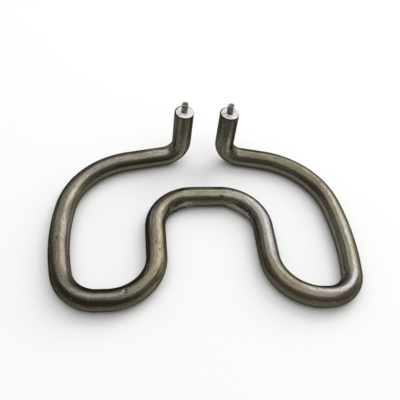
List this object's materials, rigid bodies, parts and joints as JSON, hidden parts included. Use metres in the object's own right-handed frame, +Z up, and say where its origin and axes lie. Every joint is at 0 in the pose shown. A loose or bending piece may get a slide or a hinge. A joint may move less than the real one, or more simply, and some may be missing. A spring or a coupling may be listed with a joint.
{
  "type": "tubular heating element",
  "caption": "Metal-sheathed tubular heater bent into a flat loop with forward lobes, with upright legs, sealed ends and short terminal pins.",
  "frame": {"origin": "on the ground that the loop lies on, under the middle of the whole part", "axes": "+X along the crossbar towards the right leg, +Y from the lobes towards the legs, +Z up along the legs and terminal pins"},
  "size_m": [0.118, 0.0812, 0.0318],
  "materials": {
    "sheath_steel": "oxidised bare steel, semi-gloss, drawn along the tube",
    "pin_steel": "dull, oxidised",
    "seal_cement": "matte, unglazed, slightly rough",
    "coil_wire": "drawn resistance wire",
    "magnesia": "compacted powder, matte"
  },
  "bodies": {
    "root": {"sheath": "sheath_steel", "left_terminal_pin": "pin_steel", "right_terminal_pin": "pin_steel", "left_end_seal": "seal_cement", "right_end_seal": "seal_cement", "resistance_coil": "coil_wire", "magnesia_fill": "magnesia"}
  },
  "joints": []
}
